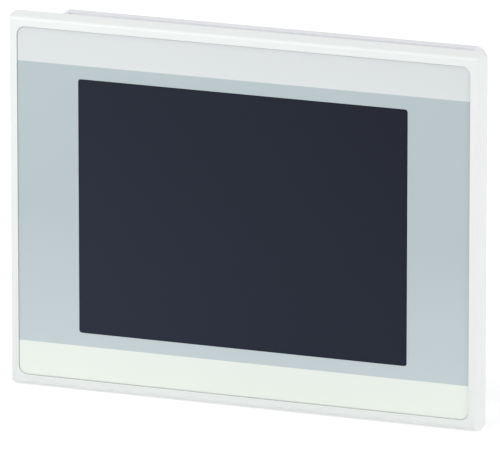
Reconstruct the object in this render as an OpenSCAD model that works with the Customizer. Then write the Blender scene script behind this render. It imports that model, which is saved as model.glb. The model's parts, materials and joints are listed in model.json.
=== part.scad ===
// Panel-mounted operator panel with a touch display. It is pushed through a cutout in a cabinet
// door from the front and clamped from behind.
// Row axes: +X right, +Y into the cabinet, +Z up. The origin is the middle of the flange's rear
// face, which is the plane that meets the door.

/* [Bezel] */
// Width of the front bezel at its rear edge
bezel_w = 170; // [168:1:174]
// Height of the front bezel at its rear edge
bezel_h = 130; // [128:1:134]
// Thickness of the bezel in front of the door
bezel_t = 6.3; // [6.2:0.1:7]
// How much each side of the bezel draws in towards the front
bezel_flare = 1.2; // [0.8:0.1:1.4]
// Radius of the crease between the bezel's front and its sides
bezel_crease_r = 1.4; // [0.8:0.1:1.6]
// Radius of the bezel's outline corners
bezel_corner_r = 2.2; // [1.8:0.1:3]
// Width of the bezel's front border to the left and right of the film
side_border_w = 2.7; // [2.5:0.1:3.5]
// Width of the bezel's front border above and below the film
end_border_w = 2.85; // [2.5:0.05:3.5]
// Angle at which the front border falls back between the film and the crease
border_fall = 8; // [0:1:10]

/* [Housing] */
// Overall depth from the bezel's front to the housing's rear
overall_depth = 39; // [39:0.5:46]
// Width of the housing behind the flange
housing_w = 156.4; // [156:0.1:157]
// Height of the housing behind the flange
housing_h = 116.4; // [116:0.1:117]
// Wall thickness of the moulded housing
wall = 2.2; // [2:0.1:2.4]
// Depth at which the connector side steps in
step_y = 12; // [11.8:0.1:12.2]
// How far the connector side steps in
step_in = 4.8; // [4.6:0.1:5.6]
// Number of vent slots in a row
vent_count = 17; // [9:2:17]
// Distance between vent slots
vent_pitch = 7; // [6:0.5:7]
// Width of a vent slot
vent_w = 2.8; // [2:0.1:3]

/* [Front layers] */
// How far the decor film lies below the border
film_step = 0.4; // [0.3:0.1:0.6]
// Thickness of the printed decor film
film_t = 0.25; // [0.2:0.05:0.3]
// Width of the display window in the film
window_w = 118; // [116:0.5:120]
// Height of the display window in the film
window_h = 88.7; // [87:0.1:90]
// Width of the touch glass
touch_w = 134; // [132:0.5:135]
// Height of the touch glass
touch_h = 104; // [102:0.5:105]
// Thickness of the flexible touch film
touch_film_t = 0.2; // [0.15:0.05:0.25]
// Thickness of the touch glass
touch_glass_t = 1.8; // [1.6:0.1:1.8]

/* [Display module] */
// Width of the display module
lcd_w = 127; // [126:0.5:128]
// Height of the display module
lcd_h = 98.4; // [98:0.1:98.8]
// Thickness of the display module
lcd_t = 5.7; // [5.7:0.1:5.9]
// Thickness of the sheet-metal carrier
carrier_t = 1; // [0.8:0.1:1.2]

/* [Main board] */
// Length of the spacers between carrier and board
standoff_h = 5; // [5:0.1:5.2]
// Thickness of the circuit board
board_t = 1.6; // [1.5:0.1:1.6]

/* [Moving parts] */
// How far the control button goes in
button_travel = 0.6; // [0.3:0.1:0.8]
// Radius of the control button
button_r = 2.2; // [1.8:0.1:2.4]
// Width of the memory card
card_w = 24; // [23.8:0.1:24]
// Length of the memory card
card_l = 32; // [32:0.1:32.4]
// Thickness of the memory card
card_t = 2.1; // [2:0.1:2.2]
// Gap kept between moving parts and what they slide in
slide_gap = 0.4; // [0.3:0.05:0.4]

/* [Hidden] */
$fn = 48;
tiny = 0.01;

// Depths of the layers, front to rear
front_y = -bezel_t;
film_y = front_y + film_step;
touch_film_y = film_y + film_t;
touch_glass_y = touch_film_y + touch_film_t;
touch_tape_y = touch_glass_y + touch_glass_t;
touch_tape_t = 0.25;
shelf_y = touch_tape_y + touch_tape_t;
lcd_seat_y = -1.3;
dust_gasket_t = 0.6;
lcd_y = lcd_seat_y + dust_gasket_t;
lcd_rear_y = lcd_y + lcd_t;
carrier_rear_y = lcd_rear_y + carrier_t;
board_y = carrier_rear_y + standoff_h;
board_rear_y = board_y + board_t;
housing_y = overall_depth - bezel_t;
housing_floor_y = housing_y - wall;

// Front recess and layers
recess_w = bezel_w - 2 * bezel_flare - 2 * side_border_w;
recess_h = bezel_h - 2 * bezel_flare - 2 * end_border_w;
recess_r = 3;
border_land = 0.5;
film_gap = 0.15;
window_r = 1;
pocket_gap = 0.3;
view_w = lcd_w - 5.4;
view_h = lcd_h - 6.4;

// Housing outline
side_x = housing_w / 2;
top_z = housing_h / 2;
deep_x = side_x - step_in;
inner_x = side_x - wall;
inner_z = top_z - wall;
deep_inner_x = deep_x - wall;
deep_mid_x = (deep_x - side_x) / 2;
housing_r = 1.2;
deep_r = 4;

// Shallow recess in the housing's top wall, with the vents in it and a rim behind it
top_recess_t = 0.6;
top_rim_l = 4.5;
top_recess_y0 = step_y + 1;
top_recess_y1 = housing_y - top_rim_l;
top_recess_inset = 2.8;

// Joint between bezel and housing
rim_l = 5;
rim_t = 1.8;
rim_gap = 0.15;
boss_r = 3.6;
boss_h = 6;
column_r = 4.2;
column_seat_y = 9.5;
counterbore_r = 3.3;
column_inset = 3.8;
screw_spots = [for (x = [column_inset - inner_x, deep_inner_x - column_inset], z = [-1, 1])
    [x, z * (inner_z - column_inset)]];
m3_r = 1.5;
m3_head_r = 2.75;
m3_head_h = 2.2;
m3_drive_r = 1.3;
screw_end_y = -1;
thread_gap = 0.05;

// Carrier and board fixing
carrier_spots = [[-68.5, -30], [-68.5, 30], [68.5, -30], [68.5, 30], [0, -52], [0, 52]];
carrier_boss_r = 2.4;
carrier_screw_r = 1.2;
carrier_x = 71.5;
carrier_z = 53;
standoff_spots = [for (x = [-63, -3, 57], z = [-39.5, 44]) [x, z]];
standoff_r = 2.75;
board_screw_r = 1.2;
board_x0 = 2 - inner_x;
board_x1 = deep_inner_x - 0.8;
board_z = inner_z - 2;
notch_z = 47.5;
notch_x0 = -67.5;
notch_x1 = 61.9;

// Ports in the bottom wall: middle of each along X
power_x = 50.5;
serial_xs = [23.5, -10.5];
ethernet_x = -37;
usb_device_x = -55.4;
port_face_z = -top_z + 0.8;
serial_flange_z = -top_z + 6;
serial_mid_y = board_rear_y + 6.3;
jackscrew_offset = 12.5;
jackscrew_bore_r = 1.15;

// Ports in the connector side: middle of each along Z
card_z = 24;
usb_host_z = -4;
button_z = -20;
button_y = board_rear_y + 4.4;
dip_z = -34;
dip_pitch = 3.8;
dip_travel = 2.2;

// Memory card in its socket
card_x1 = deep_x + 1.4;
card_x0 = card_x1 - card_l;
card_y0 = board_rear_y + 1;
card_cut = 4;
carriage_l = 2.1;
channel_x0 = card_x0 - slide_gap - carriage_l - 1.2;
channel_w = card_w + 1;
channel_y0 = card_y0 - slide_gap;
channel_y1 = card_y0 + card_t + slide_gap;

// Power plug in its header
plug_w = 15.4;
plug_y0 = board_rear_y + 1.4;
plug_t = 8.4;
plug_z0 = -64;
plug_z1 = -48.6;
header_z1 = -44;
pole_pitch = 5.08;
pole_count = 3;

// Coin cell
cell_x = -50;
cell_z = -8;
cell_r = 10;
cell_t = 3.2;

// ---------- shared shapes ----------

// A block between two opposite corners
module block(lo, hi) {
    translate(lo)
        cube(hi - lo);
}

// An X-Z outline made solid from depth y0 to depth y1
module depth_slab(y0, y1) {
    translate([0, y1, 0])
        rotate([90, 0, 0])
            linear_extrude(y1 - y0)
                children();
}

// A Y-Z outline made solid from x0 to x1
module side_slab(x0, x1) {
    translate([x0, 0, 0])
        rotate([90, 0, 90])
            linear_extrude(x1 - x0)
                children();
}

// An X-Y outline made solid from height z0 to height z1
module rise_slab(z0, z1) {
    translate([0, 0, z0])
        linear_extrude(z1 - z0)
            children();
}

// A rectangle between two corners, with its left and right corners rounded separately
module sided_rect(lo, hi, r_left, r_right) {
    translate([lo[0] + r_left, lo[1]])
        square([hi[0] - lo[0] - r_left - r_right, hi[1] - lo[1]]);
    translate([lo[0], lo[1] + r_left])
        square([r_left + tiny, hi[1] - lo[1] - 2 * r_left]);
    translate([hi[0] - r_right - tiny, lo[1] + r_right])
        square([r_right + tiny, hi[1] - lo[1] - 2 * r_right]);
    for (y = [lo[1] + r_left, hi[1] - r_left])
        translate([lo[0] + r_left, y])
            circle(r_left);
    for (y = [lo[1] + r_right, hi[1] - r_right])
        translate([hi[0] - r_right, y])
            circle(r_right);
}

// A centred rectangle with round corners
module rounded_rect(w, h, r) {
    sided_rect([-w / 2, -h / 2], [w / 2, h / 2], r, r);
}

// A flat frame: an outer rounded rectangle with a smaller one cut from it
module frame_outline(w, h, r, inner_w, inner_h, inner_r) {
    difference() {
        rounded_rect(w, h, r);
        rounded_rect(inner_w, inner_h, inner_r);
    }
}

// A long hole with round ends, centred, its length along the second axis
module slot_outline(w, l) {
    square([w, l - w], center = true);
    for (s = [-1, 1])
        translate([0, s * (l - w) / 2])
            circle(w / 2);
}

// A cylinder along Y at an X-Z spot, from depth y0 to depth y1
module y_rod(spot, r, y0, y1) {
    translate([spot[0], y1, spot[1]])
        rotate([90, 0, 0])
            cylinder(h = y1 - y0, r = r);
}

// A screw along Y that is driven from behind, with its head on a seat at depth seat_y
module y_screw(spot, shank_r, head_r, head_h, drive_r, seat_y, end_y) {
    difference() {
        union() {
            y_rod(spot, head_r, seat_y, seat_y + head_h);
            y_rod(spot, shank_r, end_y, seat_y + tiny);
        }
        translate([spot[0], seat_y + head_h + 1, spot[1]])
            rotate([90, 0, 0])
                cylinder(h = 1 + head_h * 0.6, r = drive_r, $fn = 6);
    }
}

// ---------- front ----------

// Cross-section of the bezel across one axis: full size at the rear and drawn in at the front,
// where its border falls back and turns softly into the side
module bezel_section(size, border) {
    half = size / 2;
    flare = bezel_flare / bezel_t;
    lean = atan(flare);
    flat_x = half - bezel_flare - border + border_land;
    arc_gap = bezel_crease_r / cos(lean);
    arc_drop = bezel_crease_r / cos(border_fall);
    arc_y = (front_y + (half - arc_gap - flat_x) * tan(border_fall) + arc_drop)
        / (1 - flare * tan(border_fall));
    arc_x = half + flare * arc_y - arc_gap;
    side = [arc_x + bezel_crease_r * cos(lean), arc_y - bezel_crease_r * sin(lean)];
    fall = [
        arc_x + bezel_crease_r * sin(border_fall), arc_y - bezel_crease_r * cos(border_fall)
    ];
    polygon([
        [half, 0], side, fall, [flat_x, front_y],
        [-flat_x, front_y], [-fall[0], fall[1]], [-side[0], side[1]], [-half, 0]
    ]);
    for (s = [-1, 1])
        translate([s * arc_x, arc_y])
            circle(bezel_crease_r);
}

// The bezel's outer form, with mitred corners like a picture frame
module bezel_form() {
    intersection() {
        rise_slab(-bezel_h, bezel_h)
            bezel_section(bezel_w, side_border_w);
        side_slab(-bezel_w, bezel_w)
            rotate([0, 0, 90])
                mirror([0, 1, 0])
                    bezel_section(bezel_h, end_border_w);
        depth_slab(front_y - 1, 0)
            rounded_rect(bezel_w, bezel_h, bezel_corner_r);
    }
}

module front_bezel() {
    color("white")
        difference() {
            union() {
                bezel_form();
                depth_slab(-tiny, rim_l)
                    frame_outline(
                        2 * (inner_x - rim_gap), 2 * (inner_z - rim_gap), 1,
                        2 * (inner_x - rim_gap - rim_t), 2 * (inner_z - rim_gap - rim_t), 1
                    );
                for (spot = screw_spots)
                    y_rod(spot, boss_r, -tiny, boss_h);
                for (spot = carrier_spots)
                    y_rod(spot, carrier_boss_r, -tiny, lcd_rear_y);
            }
            bezel_pockets();
            for (spot = screw_spots)
                y_rod(spot, m3_r + thread_gap, screw_end_y - 0.3, boss_h + 1);
            for (spot = carrier_spots)
                y_rod(spot, carrier_screw_r + thread_gap, -1, lcd_rear_y + 1);
        }
}

// What is cut out of the bezel for the film, the touch glass, the view and the display
module bezel_pockets() {
    depth_slab(front_y - 1, touch_film_y)
        rounded_rect(recess_w, recess_h, recess_r);
    depth_slab(touch_film_y - tiny, shelf_y)
        rounded_rect(touch_w + 2 * pocket_gap, touch_h + 2 * pocket_gap, 1);
    depth_slab(shelf_y - tiny, lcd_seat_y + tiny)
        rounded_rect(view_w, view_h, 1.5);
    depth_slab(lcd_seat_y, 1)
        rounded_rect(lcd_w + 2 * pocket_gap, lcd_h + 2 * pocket_gap, 1);
    depth_slab(-1.2, 1)
        frame_outline(bezel_w - 3, bezel_h - 3, 2, housing_w + 4.2, housing_h + 4.2, 1.5);
    block([tail_x - 8, shelf_y - 1, -51.8], [tail_x + 8, 1, -50.3]);
}

module decor_film() {
    color("#c0cace")
        depth_slab(film_y, touch_film_y)
            frame_outline(
                recess_w - 2 * film_gap, recess_h - 2 * film_gap, recess_r - film_gap,
                window_w, window_h, window_r
            );
}

module touch_film() {
    color("#31353f")
        depth_slab(touch_film_y, touch_glass_y)
            rounded_rect(touch_w, touch_h, 1);
}

module touch_glass() {
    color("#303640")
        depth_slab(touch_glass_y, touch_tape_y)
            rounded_rect(touch_w, touch_h, 1);
}

module touch_tape() {
    color("#202020")
        depth_slab(touch_tape_y, shelf_y)
            frame_outline(touch_w, touch_h, 1, view_w + 0.8, view_h + 0.8, 1.5);
}

module flange_gasket() {
    color("#303030")
        depth_slab(-1.2, 0)
            frame_outline(
                bezel_w - 3.4, bezel_h - 3.4, 1.8, housing_w + 4.6, housing_h + 4.6, 1.5
            );
}

module display_dust_gasket() {
    color("#1c1c1c")
        depth_slab(lcd_seat_y, lcd_y)
            frame_outline(lcd_w - 1, lcd_h - 1, 1, view_w + 0.6, view_h + 0.6, 1);
}

// ---------- display module ----------

lcd_skin = 0.4;
cell_y = lcd_y + lcd_skin;
lcd_cell_t = 1.6;
guide_y = cell_y + lcd_cell_t;
tray_floor_y = lcd_rear_y - 0.7;
led_top_z = -45.7;

module lcd_metal_frame() {
    color("silver")
        difference() {
            depth_slab(lcd_y, lcd_y + 3.7)
                rounded_rect(lcd_w, lcd_h, 0.8);
            depth_slab(cell_y, lcd_rear_y)
                rounded_rect(lcd_w - 2 * lcd_skin, lcd_h - 2 * lcd_skin, 0.5);
            depth_slab(lcd_y - 1, lcd_rear_y)
                rounded_rect(window_w - 1.4, window_h - 1, 0.5);
        }
}

module lcd_cell() {
    color("#20242c")
        depth_slab(cell_y, guide_y)
            square([lcd_w - 1.8, lcd_h - 1.8], center = true);
}

module light_guide() {
    color("#e8f0f0")
        block([-62, guide_y, led_top_z + 0.2], [62, tray_floor_y, 48]);
}

module led_bar() {
    color("#f0e0a0") {
        block([-60, guide_y + 0.1, -48], [60, guide_y + 1, led_top_z]);
        for (i = [0 : 11])
            translate([(i - 5.5) * 9.6, 0, 0])
                block([-1.6, guide_y + 1, -47.4], [1.6, guide_y + 2.2, led_top_z]);
    }
}

module lcd_back_tray() {
    color("white")
        difference() {
            depth_slab(guide_y, lcd_rear_y)
                square([lcd_w - 1.2, lcd_h - 1.2], center = true);
            depth_slab(guide_y - 1, tray_floor_y)
                square([lcd_w - 2.2, lcd_h - 2.2], center = true);
        }
}

// ---------- carrier and board ----------

ribbon_x = -20;
ribbon_w = 26;
ribbon_z = -16;
tail_x = 31;
tail_w = 13;
tail_z = -51;
wires_x = 48;
wires_z = -20;

module display_carrier() {
    color("#b8bcc0")
        difference() {
            union() {
                block([-carrier_x, lcd_rear_y, -carrier_z],
                      [carrier_x, carrier_rear_y, carrier_z]);
                for (x = [-carrier_x, carrier_x - carrier_t])
                    block([x, lcd_rear_y, -22], [x + carrier_t, carrier_rear_y + 3, 22]);
            }
            for (z = [-carrier_z - 1, 47.8]) {
                block([-carrier_x - 1, 0, z], [-67.8, 20, z + 6.2]);
                block([62.2, 0, z], [carrier_x + 1, 20, z + 6.2]);
            }
            for (spot = carrier_spots)
                y_rod(spot, carrier_screw_r + 0.15, 0, 20);
            block([ribbon_x - 15, 0, ribbon_z - 3], [ribbon_x + 15, 20, ribbon_z + 3]);
            block([tail_x - 8, 0, tail_z - 3], [tail_x + 8, 20, tail_z + 2]);
            y_rod([wires_x, wires_z], 5, 0, 20);
        }
}

module carrier_screws() {
    color("silver")
        for (spot = carrier_spots)
            y_screw(spot, carrier_screw_r, 2.3, 1.7, 1, carrier_rear_y, -0.7);
}

module board_standoffs() {
    color("gold")
        for (spot = standoff_spots)
            translate([spot[0], board_y, spot[1]])
                rotate([90, 0, 0])
                    difference() {
                        cylinder(h = standoff_h, r = standoff_r, $fn = 6);
                        translate([0, 0, -1])
                            cylinder(h = standoff_h + 2, r = board_screw_r + thread_gap);
                    }
}

module main_board() {
    color("#1f6b3a")
        difference() {
            block([board_x0, board_y, -board_z], [board_x1, board_rear_y, board_z]);
            for (z = [-board_z - 1, notch_z]) {
                block([board_x0 - 1, 0, z], [notch_x0, 20, z + board_z - notch_z + 1]);
                block([notch_x1, 0, z], [board_x1 + 1, 20, z + board_z - notch_z + 1]);
            }
            for (spot = standoff_spots)
                y_rod(spot, board_screw_r + 0.15, 0, 20);
        }
}

module board_screws() {
    color("silver")
        for (spot = standoff_spots)
            y_screw(spot, board_screw_r, 2.3, 1.7, 1, board_rear_y, board_y - 4);
}

module front_connectors() {
    color("ivory") {
        block([ribbon_x - 15, board_y - 2, ribbon_z - 12],
              [ribbon_x + 15, board_y, ribbon_z - 7]);
        block([tail_x - 8, board_y - 2, tail_z + 5], [tail_x + 8, board_y, tail_z + 10]);
        block([wires_x - 4, board_y - 3, wires_z - 2.5],
              [wires_x + 4, board_y, wires_z + 2.5]);
    }
}

// A flat flexible lead that leaves the display straight back, turns down or up once and ends
// in a board connector
module flat_lead(x, w, start_y, z, end_z, t) {
    turn_y = board_y - 1.2;
    side_slab(x - w / 2, x + w / 2)
        union() {
            translate([start_y, z - t / 2])
                square([turn_y - start_y, t]);
            translate([turn_y - t, min(z - t / 2, end_z)])
                square([t, abs(end_z - z) + t / 2]);
        }
}

module display_ribbon() {
    color("#d8b070")
        flat_lead(ribbon_x, ribbon_w, lcd_rear_y, ribbon_z, ribbon_z - 7, 0.3);
}

module touch_tail() {
    color("#d09040")
        flat_lead(tail_x, tail_w, shelf_y, tail_z, tail_z + 5, 0.25);
}

module backlight_wires() {
    color("crimson")
        for (x = [wires_x - 1.6, wires_x + 1.6])
            y_rod([x, wires_z], 0.7, lcd_rear_y, board_y - 3);
}

// ---------- components on the board ----------

// A flat chip on the board's rear face, by its middle and its size in X and Z
module chip(spot, size, h) {
    block([spot[0] - size[0] / 2, board_rear_y, spot[1] - size[1] / 2],
          [spot[0] + size[0] / 2, board_rear_y + h, spot[1] + size[1] / 2]);
}

processor_spot = [-10, 12];
processor_h = 1.8;
sink_size = 30;
sink_h = 9;
fin_count = 8;

module processor() {
    color("#303030")
        chip(processor_spot, [19, 19], processor_h);
}

module heat_sink() {
    base_y = board_rear_y + processor_h;
    fin_step = (sink_size - 1.2) / (fin_count - 1);
    color("#a0a4a8")
        translate([processor_spot[0], base_y, processor_spot[1]]) {
            block([-sink_size / 2, 0, -sink_size / 2], [sink_size / 2, 2, sink_size / 2]);
            for (i = [0 : fin_count - 1])
                translate([i * fin_step - sink_size / 2, 0, 0])
                    block([0, 1, -sink_size / 2], [1.2, sink_h, sink_size / 2]);
        }
}

module memory_chips() {
    color("#282828") {
        for (z = [2, 20])
            chip([18, z], [12, 9], 1.1);
        chip([-42, 30], [14, 18], 1.2);
    }
}

module interface_chips() {
    color("#242424") {
        for (x = serial_xs)
            chip([x, -30], [10.3, 7.5], 2.3);
        chip([ethernet_x, -28], [9, 9], 1.2);
    }
}

module capacitors() {
    color("#50555c")
        for (spot = [[42, -26], [42, -36], [33, -36]])
            y_rod(spot, 4, board_rear_y, board_rear_y + 8.5);
}

module power_inductor() {
    color("#404040")
        difference() {
            chip([30, -16], [12, 12], 6.5);
            y_rod([30, -16], 4.2, board_rear_y + 5.7, board_rear_y + 8);
        }
}

// ---------- ports in the bottom wall ----------

module ethernet_jack() {
    color("#c8ccd0")
        translate([ethernet_x, board_rear_y, port_face_z])
            difference() {
                block([-8, 0, 0], [8, 13.4, 16]);
                block([-6, 2, -1], [6, 10, 12.4]);
                block([-3, 9, -1], [3, 11.8, 12.4]);
            }
}

module ethernet_contacts() {
    color("gold")
        translate([ethernet_x, board_rear_y + 2, port_face_z])
            for (i = [0 : 7])
                translate([(i - 3.5) * 1.02, 0, 0])
                    block([-0.2, 0, 1.5], [0.2, 0.7, 11]);
}

module usb_device_shell() {
    color("#c8ccd0")
        translate([usb_device_x, board_rear_y, port_face_z])
            difference() {
                block([-6, 0, 0], [6, 11, 16]);
                block([-4.4, 1.4, -1], [4.4, 9.4, 12]);
            }
}

module usb_host_shell() {
    color("#c8ccd0")
        difference() {
            block([deep_x - 16, board_rear_y, usb_host_z - 6.9],
                  [deep_x - 0.6, board_rear_y + 6, usb_host_z + 6.9]);
            block([deep_x - 12, board_rear_y + 0.4, usb_host_z - 6.4],
                  [deep_x + 1, board_rear_y + 5.6, usb_host_z + 6.4]);
        }
}

module usb_tongues() {
    color("white") {
        translate([usb_device_x, board_rear_y, port_face_z])
            block([-2.8, 3.8, 1.2], [2.8, 7, 12]);
        block([deep_x - 12, board_rear_y + 2.8, usb_host_z - 5.5],
              [deep_x - 1.4, board_rear_y + 4.7, usb_host_z + 5.5]);
    }
}

// The D-shaped outline of a nine-way port, made smaller all round by inset
module d_outline(inset) {
    corner_r = 2 - inset;
    hull()
        for (s = [-1, 1]) {
            translate([s * 6.46, 2.18])
                circle(corner_r, $fn = 32);
            translate([s * 5.75, -2.18])
                circle(corner_r, $fn = 32);
        }
}

module serial_port_shells() {
    color("silver")
        for (x = serial_xs)
            translate([x, serial_mid_y, serial_flange_z])
                difference() {
                    union() {
                        rise_slab(0, 0.8)
                            rounded_rect(30.8, 12.5, 1);
                        rise_slab(-5.6, tiny)
                            d_outline(0);
                        block([-9.8, -6.2, 0.7], [9.8, 5.6, 8.2]);
                    }
                    rise_slab(-6.6, 0.9)
                        d_outline(0.5);
                    block([-9.2, -5.6, 0.8], [9.2, 5, 9]);
                    for (s = [-1, 1])
                        translate([s * jackscrew_offset, 0, -1])
                            cylinder(h = 4, r = 1.6);
                }
}

module serial_port_inserts() {
    color("#202020")
        for (x = serial_xs)
            translate([x, serial_mid_y, serial_flange_z]) {
                rise_slab(-0.8, 0.85)
                    d_outline(0.6);
                block([-9.1, -5.5, 0.85], [9.1, 4.9, 7.8]);
                for (i = [0 : 8])
                    translate([(i - 4) * 1.385, (i % 2 == 0 ? 1 : -1) * 1.42, -5])
                        cylinder(h = 4.3, r = 0.5);
            }
}

module serial_port_jackscrews() {
    color("silver")
        for (x = serial_xs, s = [-1, 1])
            translate([x + s * jackscrew_offset, serial_mid_y, serial_flange_z])
                difference() {
                    union() {
                        translate([0, 0, -5.4])
                            cylinder(h = 5.4, r = 2.7, $fn = 6);
                        cylinder(h = 3, r = 1.5);
                    }
                    translate([0, 0, -6])
                        cylinder(h = 5.6, r = jackscrew_bore_r);
                }
}

// ---------- power ports ----------

module power_header() {
    gap = slide_gap;
    color("#2e7d4f")
        difference() {
            block([power_x - plug_w / 2 - gap - 1, board_rear_y, port_face_z],
                  [power_x + plug_w / 2 + gap + 1, plug_y0 + plug_t + gap + 1, header_z1]);
            block([power_x - plug_w / 2 - gap, plug_y0 - gap, port_face_z - 1],
                  [power_x + plug_w / 2 + gap, plug_y0 + plug_t + gap, plug_z1 + gap]);
            for (i = [0 : pole_count - 1])
                translate([power_x + (i - 1) * pole_pitch, plug_y0 + 3, 0])
                    block([-0.5, -0.5, plug_z1], [0.5, 0.5, header_z1 + 1]);
        }
}

module power_header_pins() {
    color("silver")
        for (i = [0 : pole_count - 1])
            translate([power_x + (i - 1) * pole_pitch, plug_y0 + 3, 0])
                block([-0.5, -0.5, plug_z1 - 6], [0.5, 0.5, header_z1]);
}

module power_plug() {
    color("#3a9a62")
        difference() {
            block([power_x - plug_w / 2, plug_y0, plug_z0],
                  [power_x + plug_w / 2, plug_y0 + plug_t, plug_z1]);
            for (i = [0 : pole_count - 1])
                translate([power_x + (i - 1) * pole_pitch, plug_y0 + 3, 0]) {
                    block([-0.9, -0.9, plug_z1 - 7], [0.9, 0.9, plug_z1 + 1]);
                    block([-1.6, -1.6, plug_z0 - 1], [1.6, 1.6, plug_z0 + 5]);
                    y_rod([0, plug_z0 + 3], 1.7, 1.5, plug_t);
                }
        }
}

module plug_screws() {
    color("silver")
        for (i = [0 : pole_count - 1])
            translate([power_x + (i - 1) * pole_pitch, plug_y0, plug_z0 + 3])
                difference() {
                    y_rod([0, 0], 1.6, 5, plug_t - 0.6);
                    block([-2, plug_t - 1.2, -0.25], [2, plug_t, 0.25]);
                }
}

// ---------- ports in the connector side ----------

module card_socket() {
    color("silver")
        difference() {
            block([channel_x0 - 1.2, board_rear_y, card_z - channel_w / 2 - 1.2],
                  [deep_inner_x - 0.6, channel_y1 + 0.4, card_z + channel_w / 2 + 1.2]);
            block([channel_x0, channel_y0, card_z - channel_w / 2],
                  [deep_x, channel_y1, card_z + channel_w / 2]);
        }
}

module card_carriage() {
    color("#404040")
        translate([card_x0 - slide_gap - carriage_l, card_y0, card_z])
            block([0, 0, -card_w / 2], [carriage_l, card_t, card_w / 2]);
}

module memory_card() {
    color("#20242c")
        depth_slab(card_y0, card_y0 + card_t)
            translate([0, card_z])
                polygon([
                    [card_x0, -card_w / 2], [card_x1, -card_w / 2], [card_x1, card_w / 2],
                    [card_x0 + card_cut, card_w / 2], [card_x0, card_w / 2 - card_cut]
                ]);
}

module control_button() {
    color("#d8d8d8")
        translate([0, button_y, button_z])
            rotate([0, 90, 0]) {
                translate([0, 0, deep_inner_x - 1.5])
                    cylinder(h = wall + 2.3, r = button_r);
                translate([0, 0, deep_inner_x - 1.2])
                    cylinder(h = 0.8, r = button_r + 1);
            }
}

module switch_plunger() {
    color("#303030")
        translate([deep_inner_x - 4.5, button_y, button_z])
            rotate([0, 90, 0])
                cylinder(h = 3, r = 1.2);
}

module button_switch() {
    color("#484848")
        difference() {
            block([deep_inner_x - 10, board_rear_y, button_z - 3.8],
                  [deep_inner_x - 3.4, button_y + 3.8, button_z + 3.8]);
            translate([deep_inner_x - 5.8, button_y, button_z])
                rotate([0, 90, 0])
                    cylinder(h = 5, r = 1.6);
        }
}

dip_front_x = deep_inner_x - 0.4;
dip_slot_y = board_rear_y + 2.4;

module termination_switch() {
    color("#b03030")
        difference() {
            block([dip_front_x - 8, board_rear_y, dip_z - 4.2],
                  [dip_front_x, board_rear_y + 9, dip_z + 4.2]);
            for (s = [-1, 1])
                translate([0, 0, dip_z + s * dip_pitch / 2])
                    block([dip_front_x - 1.8, dip_slot_y, -0.9],
                          [dip_front_x + 1, dip_slot_y + 4.4, 0.9]);
        }
}

// One slider of the termination switch, on the lower or the upper side of its middle
module termination_slider(side) {
    color("white")
        translate([0, dip_slot_y + slide_gap, dip_z + side * dip_pitch / 2])
            block([dip_front_x - 1.4, 0, -0.5], [dip_front_x + 0.7, 1.4, 0.5]);
}

module termination_slider_1() {
    termination_slider(-1);
}

module termination_slider_2() {
    termination_slider(1);
}

// ---------- back-up battery ----------

module battery_holder() {
    color("#303438")
        difference() {
            y_rod([cell_x, cell_z], cell_r + 1.6, board_rear_y, board_rear_y + cell_t + 0.6);
            y_rod([cell_x, cell_z], cell_r + 0.2, board_rear_y + 0.8, board_rear_y + 9);
            block([cell_x - 20, board_rear_y + 1.6, cell_z - 4],
                  [cell_x - 5, board_rear_y + 9, cell_z + 4]);
        }
}

module battery_clip() {
    clip_y = board_rear_y + 0.8 + cell_t;
    color("gold") {
        block([cell_x - 13.6, clip_y, cell_z - 3], [cell_x + 4, clip_y + 0.4, cell_z + 3]);
        block([cell_x - 13.6, board_rear_y, cell_z - 3],
              [cell_x - 13.2, clip_y + 0.1, cell_z + 3]);
    }
}

module coin_cell() {
    color("silver")
        y_rod([cell_x, cell_z], cell_r, board_rear_y + 0.8, board_rear_y + 0.8 + cell_t);
}

// ---------- rear ----------

vent_xs = [for (i = [0 : vent_count - 1])
    deep_mid_x + (i - (vent_count - 1) / 2) * vent_pitch];
vent_l = 11;
plate_w = 78;
plate_h = 40;
plate_t = 0.4;

// The windows in the bottom wall, each by its middle, its width and its depth range
module bottom_windows() {
    z0 = -top_z - 1;
    z1 = -inner_z + 1;
    y0 = board_rear_y - 0.3;
    block([power_x - 9.4, y0, z0], [power_x + 9.4, y0 + 11.9, z1]);
    for (x = serial_xs)
        block([x - 16, y0, z0], [x + 16, y0 + 13.2, z1]);
    block([ethernet_x - 8.4, y0, z0], [ethernet_x + 8.4, y0 + 14.1, z1]);
    block([usb_device_x - 6.4, y0, z0], [usb_device_x + 6.4, y0 + 11.7, z1]);
}

// The windows in the connector side for the card, the host port, the button and the switch
module side_windows() {
    x0 = deep_inner_x - 1;
    x1 = deep_x + 1;
    block([x0, channel_y0 - 0.2, card_z - card_w / 2 - 0.9],
          [x1, channel_y1 + 0.2, card_z + card_w / 2 + 0.9]);
    block([x0, board_rear_y - 0.3, usb_host_z - 7.3], [x1, board_rear_y + 6.4, usb_host_z + 7.3]);
    block([x0, board_rear_y - 0.3, dip_z - 4.6], [x1, board_rear_y + 9.4, dip_z + 4.6]);
    translate([x0, button_y, button_z])
        rotate([0, 90, 0])
            cylinder(h = x1 - x0, r = button_r + slide_gap);
}

// Vent slots in the top wall and in two rows of the rear wall
module vents() {
    for (x = vent_xs) {
        rise_slab(inner_z - 1, top_z + 1)
            translate([x, (top_recess_y0 + top_recess_y1) / 2])
                slot_outline(vent_w, vent_l);
        for (z = [-42, 42])
            depth_slab(housing_floor_y - 1, housing_y + 1)
                translate([x, z])
                    slot_outline(vent_w, vent_l);
    }
}

module top_recess() {
    block([top_recess_inset - side_x, top_recess_y0, top_z - top_recess_t],
          [deep_x - top_recess_inset, top_recess_y1, top_z + 1]);
}

// Slots behind the flange where the clamps that hold the panel in the door hook in
module clamp_slots() {
    for (x = [-50, 50], z = [-top_z - 1, inner_z - 1])
        block([x - 5, 6.4, z], [x + 5, 9.4, z + wall + 2]);
    for (x = [-side_x - 1, inner_x - 1], z = [-28, 28])
        block([x, 6.4, z - 5], [x + wall + 2, 9.4, z + 5]);
}

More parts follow.
